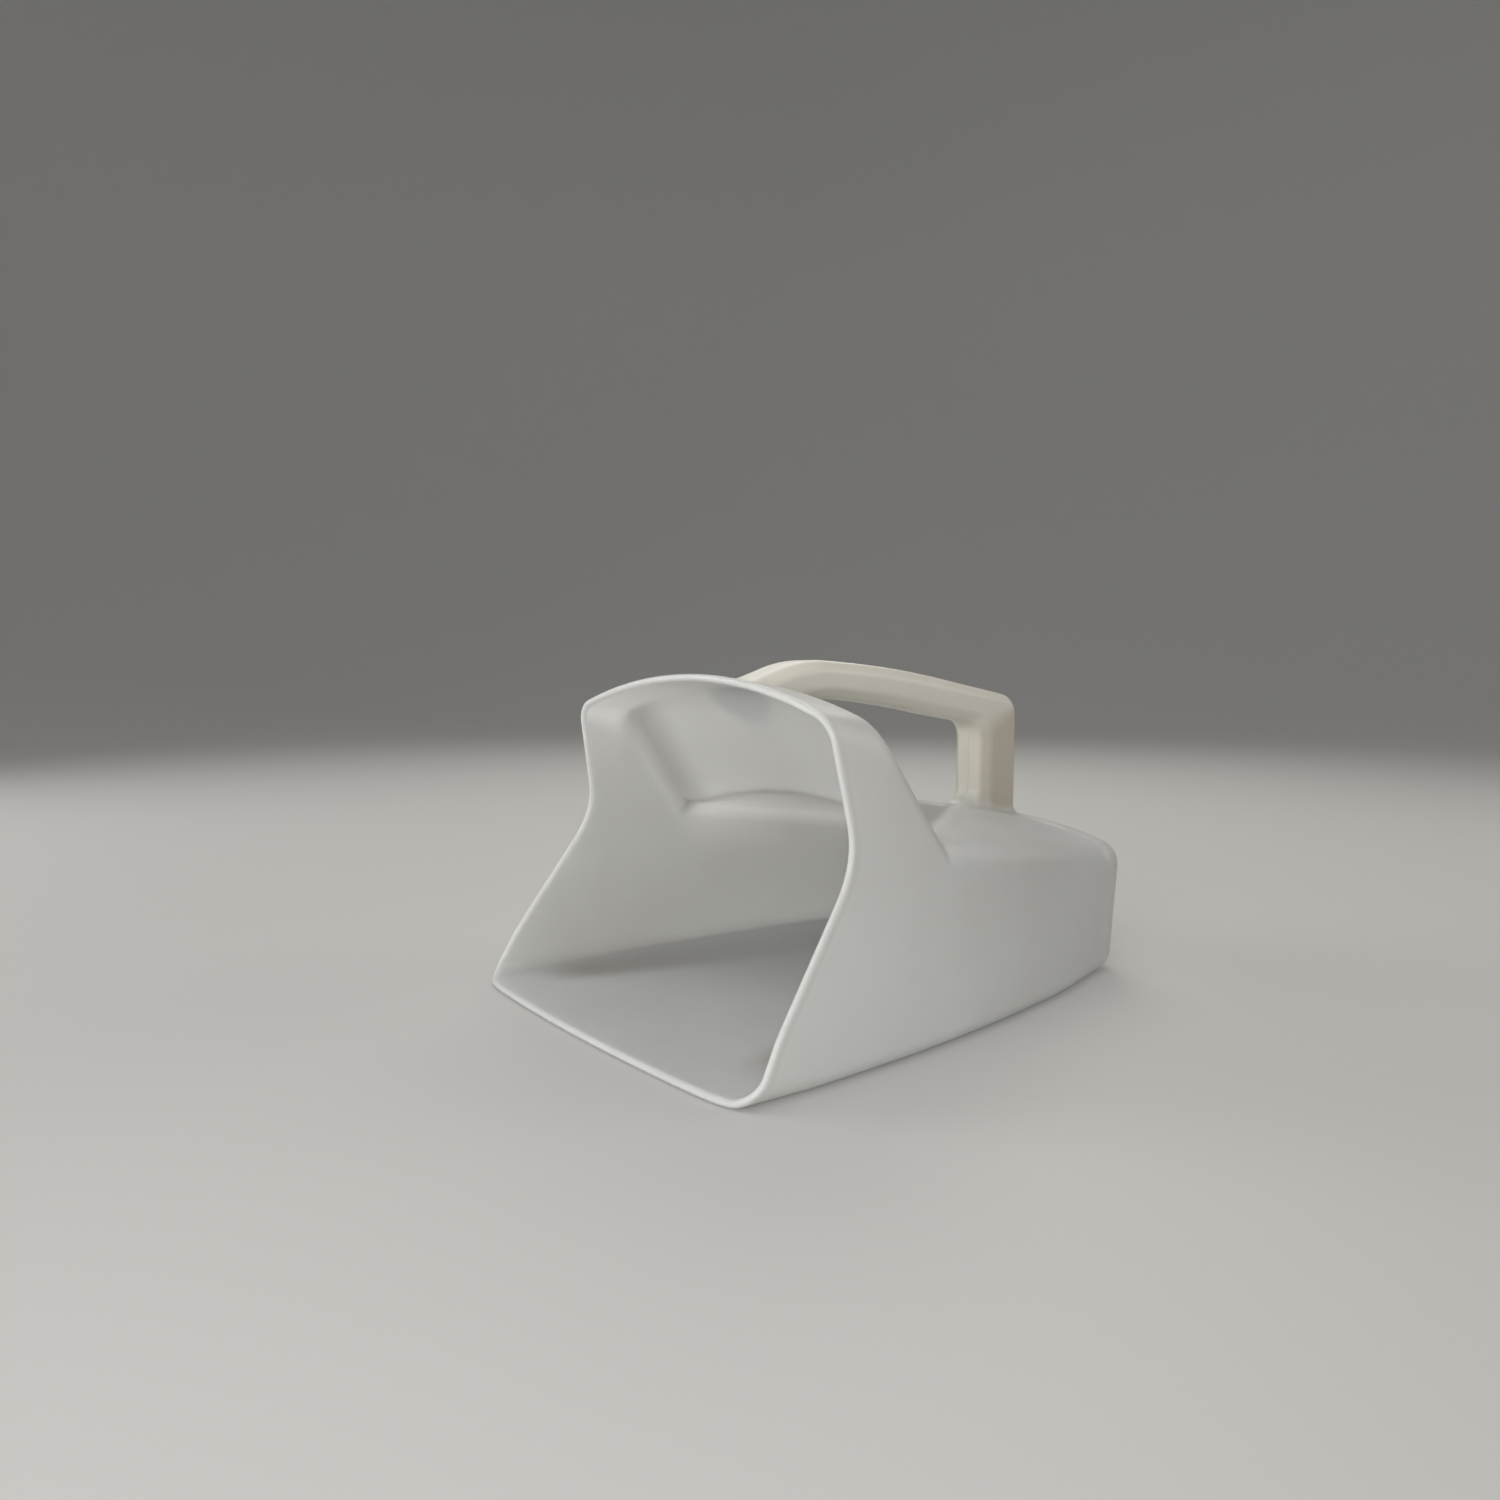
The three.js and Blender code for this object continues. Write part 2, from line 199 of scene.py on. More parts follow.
def section_point(station, turn):
    """x and z of the right half of a section across Y. turn runs 0 to 5, a unit for each stretch."""
    radius = shoulder_of(station)
    lean = side_lean(station)
    slant = np.hypot(1, lean)
    width = half_width(station)
    crown_z = crest_height(station) - CROWN_RADIUS
    corner_size = mix(LIP_CORNER_RADIUS, CORNER_RADIUS, np.clip(station / LIP_CORNER_FADE, 0, 1))
    corner_x = width - corner_size * (lean + slant)
    # The shoulder's centre lies its radius inside both the side wall and the crown.
    shoulder_line = width - radius * slant
    b = shoulder_line * lean + crown_z
    c = shoulder_line**2 + crown_z**2 - (CROWN_RADIUS - radius) ** 2
    shoulder_z = (b + np.sqrt(b**2 - slant**2 * c)) / slant**2
    shoulder_x = shoulder_line - lean * shoulder_z
    wall_angle = np.arctan(lean)
    crown_angle = np.arctan2(shoulder_z - crown_z, shoulder_x)

    stretch = np.clip(np.floor(turn), 0, STRETCHES - 1).astype(int)
    t = turn - stretch
    floor = (corner_x * t, np.zeros_like(t))
    corner = arc(corner_x, corner_size, corner_size, -math.pi / 2, wall_angle, t)
    wall_foot = arc(corner_x, corner_size, corner_size, -math.pi / 2, wall_angle, 1.0)
    wall_top = arc(shoulder_x, shoulder_z, radius, wall_angle, crown_angle, 0.0)
    side = (mix(wall_foot[0], wall_top[0], t), mix(wall_foot[1], wall_top[1], t))
    shoulder = arc(shoulder_x, shoulder_z, radius, wall_angle, crown_angle, t)
    crown_point = arc(0, crown_z, CROWN_RADIUS, crown_angle, math.pi / 2, t)
    sunk = crest_height(station, recess_at(crown_point[0], station)) - crest_height(station)
    crown = (crown_point[0], crown_point[1] + sunk)
    parts = [floor, corner, side, shoulder, crown]
    return np.choose(stretch, [p[0] for p in parts]), np.choose(stretch, [p[1] for p in parts])


def ring_point(station, turn):
    """x and z once round the whole section: turn runs 0 to 10, the second half mirroring the first."""
    turn = np.mod(turn, 2 * STRETCHES)
    left = turn > STRETCHES
    x, z = section_point(station, np.where(left, 2 * STRETCHES - turn, turn))
    return np.where(left, -x, x), z


def rim_of(turn):
    """Station where a line along the bowl reaches the rim, found by closing in on it."""
    passes, pull = 40, 0.6
    station = np.full(np.shape(turn), HOOD_RIM_STATION)
    for _ in range(passes):
        x, z = ring_point(station, turn)
        station = mix(station, rim_station(x, z), pull)
    return station


# ---- the bowl's grid --------------------------------------------------------------------------------
STRETCH_STEPS = (20, 12, 30, 16, 50)
FRONT_ROWS, EDGE_ROWS, FACE_ROWS = 28, 16, 14
FRONT_END = 56.0  # rows behind this station are straight across
FOLD_FRONT, FOLD_BACK = 85.0, 97.0
BODY_STATIONS = np.concatenate([
    np.linspace(FRONT_END, FOLD_FRONT, 18, endpoint=False),
    np.linspace(FOLD_FRONT, FOLD_BACK, 26, endpoint=False),
    np.linspace(FOLD_BACK, STRAIGHT_END, 62),
])
EDGE_START = FRONT_ROWS + len(BODY_STATIONS) - 1
ROW_COUNT = EDGE_START + EDGE_ROWS + FACE_ROWS
RIM_START = 2.4  # the skins begin this far behind the rim, and its rounding fills the rest
RIM_STEPS = 10


def ring_turns():
    half = np.concatenate([i + np.arange(n) / n for i, n in enumerate(STRETCH_STEPS)])
    return np.concatenate([half, [STRETCHES], 2 * STRETCHES - half[:0:-1]])


def bowl_point(turn, row, start=RIM_START):
    """A point of the outer surface, for a turn round the section and a row along the bowl."""
    body_row = np.clip(row - FRONT_ROWS, 0, len(BODY_STATIONS) - 1)
    angle = math.pi / 2 * np.clip((row - EDGE_START) / EDGE_ROWS, 0, 1)
    spread = 1 - np.clip((row - EDGE_START - EDGE_ROWS) / FACE_ROWS, 0, 1)
    front = mix(rim_of(turn) + start, FRONT_END, np.clip(row / FRONT_ROWS, 0, 1))
    body = np.interp(body_row, np.arange(len(BODY_STATIONS)), BODY_STATIONS)
    station = np.where(row < FRONT_ROWS, front, body + BACK_EDGE_DEPTH * np.sin(angle))
    x, z = ring_point(np.minimum(station, STRAIGHT_END), turn)
    middle = crest_height(STRAIGHT_END) / 2
    inset = 1 - np.cos(angle)
    scale_x = (1 - inset * BACK_EDGE_SIDE / half_width(STRAIGHT_END)) * spread
    scale_z = (1 - inset * BACK_EDGE_TOP / middle) * spread
    height = np.where(angle > 0, middle + (z - middle) * scale_z, z)
    leaning = smooth_step((station - BACK_WALL_LEAN_START) / (BACK_STATION - BACK_WALL_LEAN_START))
    y = station - BACK_WALL_LEAN * leaning * (2 * middle - np.minimum(height, 2 * middle))
    return np.stack([x * scale_x, y - ORIGIN_STATION, height], axis=-1)


def bowl_normal(turn, row, start=RIM_START):
    turn_nudge, row_nudge = 0.003, 0.02
    around = bowl_point(turn + turn_nudge, row, start) - bowl_point(turn - turn_nudge, row, start)
    back = np.clip(row + row_nudge, 2 * row_nudge, ROW_COUNT - row_nudge)
    along = bowl_point(turn, back, start) - bowl_point(turn, back - 2 * row_nudge, start)
    return unit(np.cross(along, around))


# ---- painted light and shade on the bowl's plastic --------------------------------------------------
# A tone is 0 in plain plastic, down to -1 for full painted shade, and up to 1 for full painted light.
# Widths and lengths are in millimetres, and places round a section are turns.
BRIGHT_FLOOR_HALF, BRIGHT_FLOOR_TAPER = 57.0, 0.33  # half width at station 0, and what it loses per mm
FLOOR_SHADE_RISE, FLOOR_SHADE_PEAK = 3.0, 0.45  # beside the bright floor, in shares of the rest
FLOOR_SHADE_START, FLOOR_SHADE_FADE = 12.0, 28.0
FLOOR_SHADE_FRONT, FLOOR_SHADE_BACK, FLOOR_SHADE_CORNER = 1.0, 0.28, 0.35
FLOOR_PALING_START, FLOOR_PALING_LENGTH = 28.0, 82.0
WALL_SHADE_HEIGHT = 11.0
SLOPE_SHADE, SLOPE_SHADE_TURN, SLOPE_SHADE_WIDTH = 0.62, 3.98, 20.0
SLOPE_SHADE_FRONT, SLOPE_SHADE_FADE = 56.0, 10.0
SHOULDER_LENGTH, CROWN_LENGTH = 20.0, 60.0  # of these stretches of a section, on the hood's slope
# Painted light along the shoulders: where round the section, how wide, and where along the bowl it starts,
# fades and dims.
SHOULDER_LIGHT_TURN, SHOULDER_LIGHT_WIDTH, SHOULDER_LIGHT_START, SHOULDER_LIGHT_FADE = 3.9, 1.3, 82.0, 28.0
SHOULDER_LIGHT_FALLOFF, SHOULDER_LIGHT_LENGTH = 0.55, 60.0
HOOD_SHOULDER_LIGHT = 0.45
CROWN_SHADE_RISE = 3.0  # per turn, from the crown's side edges inwards
RECESS_SHADE, RECESS_SHADE_EDGE = 0.5, 3.0
# Painted highlight along the ridge beside the knuckle recess.
RIDGE_HIGHLIGHT, RIDGE_WIDTH = 0.4, 3.0
HOOD_SHADE = 0.65


def inside_tone(turn, points):
    """Tone of the inner skin: painted shade along the sides of the floor and where the hood's slope turns
    into its side walls, and painted light along the shoulders."""
    half_turn = np.minimum(turn, 2 * STRETCHES - turn)
    station = points[..., 1] + ORIGIN_STATION
    x = np.abs(points[..., 0])
    bright = BRIGHT_FLOOR_HALF - BRIGHT_FLOOR_TAPER * station
    beside = (x - bright) / (half_width(station) - bright)
    paling = mix(1, FLOOR_SHADE_CORNER, smooth_step(beside / FLOOR_SHADE_PEAK - 1))
    on_floor = smooth_step(FLOOR_SHADE_RISE * beside) * paling
    on_wall = FLOOR_SHADE_CORNER * smooth_step(1 - points[..., 2] / WALL_SHADE_HEIGHT)
    towards_back = smooth_step((station - FLOOR_PALING_START) / FLOOR_PALING_LENGTH)
    deep = mix(FLOOR_SHADE_FRONT, FLOOR_SHADE_BACK, towards_back)
    from_lip = smooth_step((station - FLOOR_SHADE_START) / FLOOR_SHADE_FADE)
    # Painted shadow on the floor along the foot of each side wall, and a little way up the wall.
    floor_side = deep * from_lip * np.where(half_turn < CORNER_TURN, on_floor, on_wall)
    behind_fold = smooth_step((station - SLOPE_FOOT_STATION) / SLOPE_SHADE_FADE)
    on_slope = smooth_step((station - SLOPE_SHADE_FRONT) / SLOPE_SHADE_FADE)
    stretch_length = np.where(half_turn < CROWN_TURN, SHOULDER_LENGTH, CROWN_LENGTH)
    beyond = np.abs(half_turn - SLOPE_SHADE_TURN) * stretch_length
    # Painted shade where the hood's slope turns into its side walls.
    slope_side = SLOPE_SHADE * smooth_step(1 - beyond / SLOPE_SHADE_WIDTH) * on_slope * (1 - behind_fold)
    shoulder = smooth_step(1 - np.abs(half_turn - SHOULDER_LIGHT_TURN) / SHOULDER_LIGHT_WIDTH)
    under_roof = smooth_step((station - SHOULDER_LIGHT_START) / SHOULDER_LIGHT_FADE)
    under_roof *= mix(1, 1 - SHOULDER_LIGHT_FALLOFF, smooth_step((station - SLOPE_FOOT_STATION) / SHOULDER_LIGHT_LENGTH))
    # Painted light along the shoulders, under the roof and on the hood.
    clear = shoulder * (under_roof + HOOD_SHOULDER_LIGHT * (1 - on_slope))
    return clear - np.maximum(floor_side, slope_side)


def outside_tone(turn, points):
    """Tone of the outer skin: painted shade on top of the hood and in the knuckle recess, and a painted
    highlight along the ridge beside the recess."""
    station = points[..., 1] + ORIGIN_STATION
    on_crown = smooth_step((1 - np.abs(turn - STRETCHES)) * CROWN_SHADE_RISE)
    on_roof = on_crown * smooth_step((station - SLOPE_FOOT_STATION) / RECESS_SHADE_EDGE + 1)
    inside = recess_edge_at(station) - np.abs(points[..., 0])
    # Painted shade in the knuckle recess.
    recess = RECESS_SHADE * smooth_step(inside / RECESS_SHADE_EDGE)
    # Painted highlight along the ridge beside the recess.
    ridge = RIDGE_HIGHLIGHT * smooth_step(1 - np.abs(inside + RIDGE_WIDTH / 2) / RIDGE_WIDTH)
    # Painted shade on top of the hood.
    on_hood = on_crown * smooth_step((SLOPE_SHADE_FRONT + SLOPE_SHADE_FADE - station) / SLOPE_SHADE_FADE)
    return on_roof * (ridge - recess) - HOOD_SHADE * on_hood


# ---- the bowl's skins -------------------------------------------------------------------------------
def bowl_rings():
    """The bowl's rings of points, from the outer back wall over the rim to the inner back wall. With them
    come their distances behind the rim, their share of being inside, their tones of painted light and
    shade, and the middle point of each back wall."""
    turns = ring_turns()
    rows = np.arange(ROW_COUNT)[:, None] * np.ones((1, len(turns)))
    turn_grid = np.ones((ROW_COUNT, 1)) * turns[None, :]
    outer = bowl_point(turn_grid, rows)
    normal = bowl_normal(turn_grid, rows)
    inner = outer - WALL * normal

    # The rounding of the rim is a half circle across the wall, square to the rim's own line.
    edge = bowl_point(turns, 0 * turns, 0.0)
    edge_normal = bowl_normal(turns, 0 * turns, 0.0)
    edge_line = unit(np.roll(edge, -1, axis=0) - np.roll(edge, 1, axis=0))
    outward = unit(np.cross(edge_normal, edge_line))
    outward *= -np.sign(outward[:, 1:2])
    half = WALL / 2
    centre = edge - half * (edge_normal + outward)
    angles = np.linspace(math.pi / 2, -math.pi / 2, RIM_STEPS + 1)
    rim = [centre + half * (math.cos(a) * outward + math.sin(a) * edge_normal) for a in angles]

    behind = np.linalg.norm(outer - edge[None], axis=-1)
    centre_normal = unit(normal[-1].mean(axis=0))
    outer_end = bowl_point(np.array([0.0]), np.array([float(ROW_COUNT)]))[0]
    inner_end = outer_end - WALL * centre_normal
    rings = list(outer[::-1]) + rim + list(inner)
    turned = [np.full(len(turns), half * abs(a)) for a in angles]
    far = list(behind[::-1]) + turned + list(behind)
    inside = [0.0] * ROW_COUNT + list(np.linspace(0, 1, len(rim))) + [1.0] * ROW_COUNT
    rim_tones = [np.zeros(len(turns))] * len(rim)
    before_back = 1 - smooth_step((rows - EDGE_START) / EDGE_ROWS)
    inner_tones = inside_tone(turn_grid, outer) * before_back
    tones = list(outside_tone(turn_grid, outer)[::-1]) + rim_tones + list(inner_tones)
    return rings, far, inside, tones, outer_end, inner_end


# ---- meshes -----------------------------------------------------------------------------------------
def mesh_piece(name, points, faces, replaced, material, attributes):
    """A smooth-shaded piece, in place, from points in millimetres, with values for its points by name."""
    mesh = bpy.data.meshes.new(name)
    mesh.from_pydata((np.asarray(points) * MM).tolist(), [], faces)
    mesh.shade_smooth()
    for label, values in attributes.items():
        attribute = mesh.attributes.new(label, "FLOAT", "POINT")
        attribute.data.foreach_set("value", np.asarray(values, np.float32))
    mesh.materials.append(material)
    piece = bpy.data.objects.new(name, mesh)
    bpy.context.scene.collection.objects.link(piece)
    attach(piece, "root")
    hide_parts(replaced)


def strip_faces(first, count, loops):
    """Quads that join neighbouring loops of count points each. The first loop starts at vertex first."""
    faces = []
    for ring in range(loops - 1):
        here = first + ring * count
        there = here + count
        for i in range(count):
            j = (i + 1) % count
            faces.append((here + i, here + j, there + j, there + i))
    return faces


def make_bowl(material):
    rings, far, inside, tone, outer_end, inner_end = bowl_rings()
    count = len(rings[0])
    points = np.concatenate([outer_end[None], *rings, inner_end[None]])
    faces = [(0, 1 + (i + 1) % count, 1 + i) for i in range(count)]
    faces += strip_faces(1, count, len(rings))
    last = 1 + (len(rings) - 1) * count
    end = last + count
    faces += [(end, last + i, last + (i + 1) % count) for i in range(count)]
    behind = np.concatenate([[BACK_STATION], *far, [BACK_STATION]])
    within = np.concatenate([[0.0], np.repeat(inside, count), [1.0]])
    tones = np.concatenate([[0.0], *tone, [0.0]])
    attributes = {"behind_rim": behind, "inside": within, "tone": tones}
    mesh_piece("bowl_moulding", points, faces, "bowl", material, attributes)


# ---- the surface that the handle stands on ----------------------------------------------------------
def roof_height(x, station):
    """Height of the bowl's outer surface along its middle, from the hood to the back edge."""
    near = np.minimum(station, STRAIGHT_END)
    drop = CROWN_RADIUS - np.sqrt(CROWN_RADIUS**2 - x**2)
    top = crest_height(near, recess_at(x, near)) - drop
    middle = crest_height(STRAIGHT_END) / 2
    share = np.clip((station - STRAIGHT_END) / BACK_EDGE_DEPTH, 0, 1)
    inset = 1 - np.sqrt(1 - share**2)
    rounded = middle + (top - middle) * (1 - inset * BACK_EDGE_TOP / middle)
    return np.where(station > STRAIGHT_END, rounded, top)


def roof_normal(x, station):
    nudge = 0.05
    rise_x = (roof_height(x + nudge, station) - roof_height(x - nudge, station)) / (2 * nudge)
    rise_y = (roof_height(x, station + nudge) - roof_height(x, station - nudge)) / (2 * nudge)
    return unit(np.stack([-rise_x, -rise_y, np.ones_like(rise_x)], axis=-1))


# ---- the handle's section ---------------------------------------------------------------------------
CORNER_STEPS, SPAN_STEPS = 5, 4  # round each corner of a section, and between corners


def edge_point(edge, place):
    """Station and height on one edge of the handle. place runs 0 to 6, a unit for each stretch."""
    index = np.clip(np.floor(place), 0, len(edge) - 1).astype(int)
    t = (place - index)[:, None]
    start = np.array([stretch[0] for stretch in edge], float)[index]
    end = np.array([stretch[2] for stretch in edge], float)[index]
    middles = [stretch[1] or np.mean([stretch[0], stretch[2]], axis=0) for stretch in edge]
    control = np.array(middles, float)[index]
    return (1 - t) ** 2 * start + 2 * t * (1 - t) * control + t**2 * end


def inset_edge(edge, place, inset, turn):
    """An edge moved into the handle by inset. turn is 1 for the upper edge and -1 for the lower."""
    nudge = 0.004
    ahead = edge_point(edge, np.minimum(place + nudge, len(edge)))
    behind = edge_point(edge, np.maximum(place - nudge, 0))
    along = unit(ahead - behind)
    inward = np.stack([along[:, 1], -along[:, 0]], axis=-1) * turn
    return edge_point(edge, place) + inset * inward


def grip_corners(place, inset, chamfer, groove):
    """Corners of the right half of the handle's section, from the seam on top round to the seam below,
    with how much each corner is rounded."""
    half = GRIP_WIDTH / 2 - inset
    plan = [
        (UPPER_EDGE, 1, SEAM_HALF_GAP, inset + groove, 0.0),
        (UPPER_EDGE, 1, SEAM_HALF_GAP + SEAM_GROOVE, inset, SEAM_ROUNDING),
        (UPPER_EDGE, 1, half - chamfer, inset, GRIP_EDGE_ROUNDING),
        (UPPER_EDGE, 1, half, inset + chamfer, GRIP_EDGE_ROUNDING),
        (LOWER_EDGE, -1, half, inset + chamfer, GRIP_EDGE_ROUNDING),
        (LOWER_EDGE, -1, half - chamfer, inset, GRIP_EDGE_ROUNDING),
        (LOWER_EDGE, -1, SEAM_HALF_GAP + SEAM_GROOVE, inset, SEAM_ROUNDING),
        (LOWER_EDGE, -1, SEAM_HALF_GAP, inset + groove, 0.0),
    ]
    corners = []
    for edge, turn, x, depth, _ in plan:
        side = inset_edge(edge, place, depth, turn)
        corners.append(np.column_stack([np.full(len(place), x), side]))
    return corners, [row[4] for row in plan]


def rounded_chain(corners, roundings):
    """A line of points through corners, with each corner rounded by a short parabola."""
    chain = [corners[0]]
    leave = corners[0]
    for k in range(1, len(corners)):
        here = corners[k]
        last = k == len(corners) - 1
        size = 0.0 if last else roundings[k]
        arrive = here + unit(corners[k - 1] - here) * size
        for step in range(1, SPAN_STEPS):
            chain.append(mix(leave, arrive, step / SPAN_STEPS))
        if last:
            chain.append(here)
            break
        leave = here + unit(corners[k + 1] - here) * size
        for step in range(CORNER_STEPS + 1):
            t = step / CORNER_STEPS
            chain.append((1 - t) ** 2 * arrive + 2 * t * (1 - t) * here + t**2 * leave)
    return np.stack(chain)


# ---- the handle's lines, feet and shells ------------------------------------------------------------
PLACES_PER_STRETCH = 150
HANDLE_PLACES = np.linspace(0, len(UPPER_EDGE), len(UPPER_EDGE) * PLACES_PER_STRETCH + 1)
SINK = 0.7  # the shells' ends lie this deep in the bowl's wall
FEATHER = 0.06  # and their fillets run out this far below its surface
FOOT_STEPS = 10
FRONT_CLEAR, BACK_CLEAR = 1.35, 5.2  # between these places all lines share their rows
HOOD_ROWS, LEG_ROWS = 8, 14  # from a foot's fillet to the shared rows
SHARED_ROWS = np.concatenate([
    np.linspace(FRONT_CLEAR, 2, 8, endpoint=False),
    np.linspace(2, 3, 30, endpoint=False),
    np.linspace(3, 4, 14, endpoint=False),
    np.linspace(4, 5, 18, endpoint=False),
    np.linspace(5, BACK_CLEAR, 3),
])
HOOD_END, LEG_START = 2, 5  # lines meet the hood before the first place and the roof after the second
LEG_SIDE_START, LEG_SIDE_FADE = 4.3, 0.7  # the leg's flat sides take painted shade from the first place on


def at_place(line, place):
    """Points on one lengthwise line of the handle, at given places along it."""
    return np.stack([np.interp(place, HANDLE_PLACES, line[:, axis]) for axis in range(3)], axis=-1)


def surface_place(height, before):
    """Place where a line passes through the bowl's surface, just after the sample before it."""
    share = height[before] / (height[before] - height[before + 1])
    return mix(HANDLE_PLACES[before], HANDLE_PLACES[before + 1], share)


def foot_rows(line, outward, crossing, heading, radius, flare):
    """Points from inside the bowl's wall, up the fillet, to where the line stands clear of it, and the
    place where it does. heading is 1 where places grow away from the bowl and -1 where they grow towards
    it, and flare is how far the fillet runs out on the bowl, in radii."""
    travelled = np.concatenate([[0], np.cumsum(np.linalg.norm(np.diff(line, axis=0), axis=1))])
    distance = np.interp(crossing, HANDLE_PLACES, travelled) + heading * radius
    clear_place = np.interp(distance, travelled, HANDLE_PLACES)
    meet = at_place(line, np.array([crossing]))[0]
    clear = at_place(line, np.array([clear_place]))[0]
    normal = roof_normal(meet[0:1], meet[1:2])[0]
    spread = unit(outward - normal * np.dot(outward, normal)) * radius * flare
    start = meet + spread
    start[2] = roof_height(start[0:1], start[1:2])[0] - FEATHER
    weight = math.sqrt(0.5)
    rows = [start - SINK * normal]
    for t in np.linspace(0, 1, FOOT_STEPS + 1)[:-1]:
        shares = np.array([(1 - t) ** 2, 2 * weight * t * (1 - t), t**2])
        rows.append((shares[0] * start + shares[1] * meet + shares[2] * clear) / shares.sum())
    return np.array(rows), clear_place


def shell_lines(inset, chamfer, groove, flare):
    """Every lengthwise line of one skin of the right shell, from the hood to the leg's foot, with how near
    each point is to a foot, and how much it is on the flat side of the leg, which takes painted shade."""
    corners, roundings = grip_corners(HANDLE_PLACES, inset, chamfer, groove)
    table = rounded_chain(corners, roundings)
    plain_corners, _ = grip_corners(HANDLE_PLACES, inset, chamfer, 0.0)
    plain = rounded_chain(plain_corners, roundings)
    across = np.gradient(plain, axis=0)
    along = np.gradient(plain, axis=1)
    outward = unit(np.cross(across, along))
    above = table[:, :, 2] - roof_height(table[:, :, 0], table[:, :, 1])
    lines, nearness, sidedness = [], [], []
    for line, facing, height in zip(table, outward, above):
        front = np.flatnonzero((height < 0) & (HANDLE_PLACES < HOOD_END))[-1]
        back = np.flatnonzero((height < 0) & (HANDLE_PLACES > LEG_START))[0]
        front_place = surface_place(height, front)
        back_place = surface_place(height, back - 1)
        under = np.clip(-facing[front][2], 0, 1)
        forward = -facing[back][1]
        hood_radius = mix(HOOD_JOINT_RADIUS, HOOD_JOINT_UNDER_RADIUS, under)
        end_radius = FOOT_FRONT_RADIUS if forward > 0 else FOOT_REAR_RADIUS
        leg_radius = mix(FOOT_SIDE_RADIUS, end_radius, abs(forward))
        hood, hood_clear = foot_rows(line, facing[front], front_place, 1, hood_radius, flare)
        leg, leg_clear = foot_rows(line, facing[back], back_place, -1, leg_radius, flare)
        places = np.concatenate([
            np.linspace(hood_clear, FRONT_CLEAR, HOOD_ROWS, endpoint=False),
            SHARED_ROWS,
            np.linspace(BACK_CLEAR, leg_clear, LEG_ROWS)[1:],
        ])
        lines.append(np.concatenate([hood, at_place(line, places), leg[::-1]]))
        fade = np.concatenate([[1], np.linspace(1, 0, FOOT_STEPS)])
        nearness.append(np.concatenate([fade, np.zeros(len(places)), fade[::-1]]))
        on_leg = smooth_step((places - LEG_SIDE_START) / LEG_SIDE_FADE)
        side = smooth_step(np.interp(places, HANDLE_PLACES, facing[:, 0])) * on_leg
        sidedness.append(np.concatenate([np.zeros(len(hood)), side, np.full(len(leg), side[-1])]))
    return np.array(lines), np.array(nearness), np.array(sidedness)


def make_shells(material):
    """Both handle shells, each closed and hollow. The left one is the right one mirrored."""
    inner_chamfer = GRIP_CHAMFER - WALL * (2 - math.sqrt(2))
    outer, near_outer, side_outer = shell_lines(0.0, GRIP_CHAMFER, SEAM_GROOVE, 1.0)
    inner, near_inner, side_inner = shell_lines(WALL, inner_chamfer, 0.0, 0.0)
    section = np.concatenate([outer, inner[::-1]])
    near = np.concatenate([near_outer, near_inner[::-1]])
    leg_side_shade = np.concatenate([side_outer, side_inner[::-1]])
    rows = section.transpose(1, 0, 2).copy()
    rows[:, :, 1] -= ORIGIN_STATION
    loops, count = rows.shape[:2]
    points = rows.reshape(-1, 3)
    faces = strip_faces(0, count, loops)
    half = len(outer)
    last = (loops - 1) * count
    for i in range(half - 1):
        j = count - 1 - i
        faces.append((i + 1, i, j, j - 1))
        faces.append((last + i, last + i + 1, last + j - 1, last + j))
    for side, label in ((1, "right"), (-1, "left")):
        name = f"handle_{label}_half"
        turned = faces if side == -1 else [face[::-1] for face in faces]
        placed = points * np.array([side, 1, 1])
        attributes = {"near_foot": near.T.reshape(-1), "leg_side_shade": leg_side_shade.T.reshape(-1)}
        replaced = f"handle_{label}_shell"
        mesh_piece(name, placed, turned, replaced, material, attributes)


# ---- materials --------------------------------------------------------------------------------------
# Scales are per metre and depths are in metres.
PLASTIC_IOR = 1.5
SCATTER_RADII = (1.0, 0.98, 0.92)  # red, green and blue, in shares of the depth
NOISE_LOW, NOISE_HIGH = 0.3, 0.7  # most of a noise lies between these
WAVE_SCALE, WAVE_STRENGTH, WAVE_DEPTH = 38.0, 0.25, 0.0012
PEEL_SCALE, PEEL_STRENGTH, PEEL_DEPTH = 1100.0, 0.12, 0.00006
SCRATCH_SCALE, SCRATCH_STRENGTH, SCRATCH_DEPTH = (900.0, 40.0, 500.0), 0.2, 0.00005
SCRATCH_LOW, SCRATCH_HIGH, SCRATCH_DULLING = 0.60, 0.72, 0.10
GLOSS_SCALE, GLOSSIER, DULLER = 60.0, 0.05, 0.06


def plug(tree, socket, value):
    """Give a socket a link or a value. A colour is given without its alpha."""
    if isinstance(value, bpy.types.NodeSocket):
        tree.links.new(value, socket)
    elif socket.type == "RGBA":
        socket.default_value = (*value, 1.0)
    else:
        socket.default_value = value


def node(tree, kind, **inputs):
    """A new node, with values or links given for its inputs by name, spaces written as underscores."""
    made = tree.nodes.new(kind)
    for name, value in inputs.items():
        plug(tree, made.inputs[name.replace("_", " ")], value)
    return made


def noise(tree, place, scale, detail, roughness=0.5):
    made = node(tree, "ShaderNodeTexNoise", Vector=place, Scale=scale, Detail=detail, Roughness=roughness)
    return made.outputs["Fac"]


def remap(tree, value, low, high, to_low=0.0, to_high=1.0):
    """Stretch the range from low to high onto another one, and hold its ends beyond it."""
    made = node(tree, "ShaderNodeMapRange", Value=value, From_Min=low, From_Max=high)
    plug(tree, made.inputs["To Min"], to_low)
    plug(tree, made.inputs["To Max"], to_high)
    return made.outputs["Result"]


